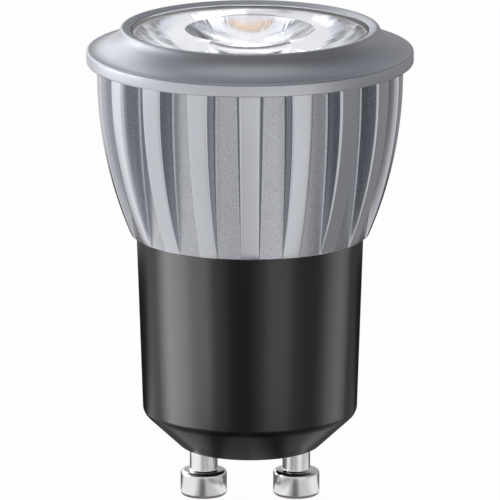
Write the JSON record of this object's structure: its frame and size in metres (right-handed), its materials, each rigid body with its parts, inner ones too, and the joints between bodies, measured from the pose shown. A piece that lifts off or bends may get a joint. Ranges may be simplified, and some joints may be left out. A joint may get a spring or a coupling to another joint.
{
  "type": "gu10 spotlight bulb",
  "caption": "Small LED spot lamp with a twist-lock pin base, black moulded body, fluted silver heat sink, coved front ring and clear dished lens.",
  "frame": {"origin": "midway between the two pins, on the plane of the pin ends", "axes": "+Z along the lamp's axis from the pins to the lens, +X along the line of the two pins"},
  "size_m": [0.035, 0.035, 0.0516],
  "materials": {
    "cast_aluminium": "satin die-cast, fine even grain",
    "ring_aluminium": "satin, slightly smoother than the heat sink",
    "clear_lens": "clear moulded optical plastic, polished",
    "grey_pad": "soft matt pad",
    "white_board": "white solder mask on a metal core",
    "warm_phosphor": "warm yellow-orange phosphor gel",
    "white_silicone": "opaque silicone bead",
    "screw_steel": "zinc-plated steel",
    "black_plastic": "black moulded plastic, semi-gloss",
    "pin_nickel": "bright nickel plate",
    "white_plastic": "plain moulded",
    "fibre_board": "glass-fibre board with green mask",
    "can_sleeve": "shrink sleeve over an aluminium can",
    "ferrite": "sintered, matt",
    "copper_wire": "enamelled copper",
    "box_resin": "moulded box",
    "resistor_coat": "lacquered ceramic",
    "package_resin": "moulded epoxy",
    "wire_white": "insulated wire",
    "wire_red": "insulated wire",
    "wire_black": "insulated wire"
  },
  "bodies": {
    "root": {"heat_sink": "cast_aluminium", "front_ring": "ring_aluminium", "lens": "clear_lens", "thermal_pad": "grey_pad", "led_board": "white_board", "led_phosphor": "warm_phosphor", "led_dam": "white_silicone", "led_screws": "screw_steel", "base_housing": "black_plastic", "contact_pin_1": "pin_nickel", "contact_pin_2": "pin_nickel", "insulator_cap": "white_plastic", "driver_board": "fibre_board", "input_capacitor": "can_sleeve", "output_capacitor": "can_sleeve", "inductor_core": "ferrite", "inductor_winding": "copper_wire", "film_capacitor": "box_resin", "fuse_resistor": "resistor_coat", "bridge_rectifier": "package_resin", "driver_chip": "package_resin", "freewheel_diode": "package_resin", "chip_resistors": "package_resin", "pin_lead_1": "wire_white", "pin_lead_2": "wire_white", "led_lead_positive": "wire_red", "led_lead_negative": "wire_black"}
  },
  "joints": []
}
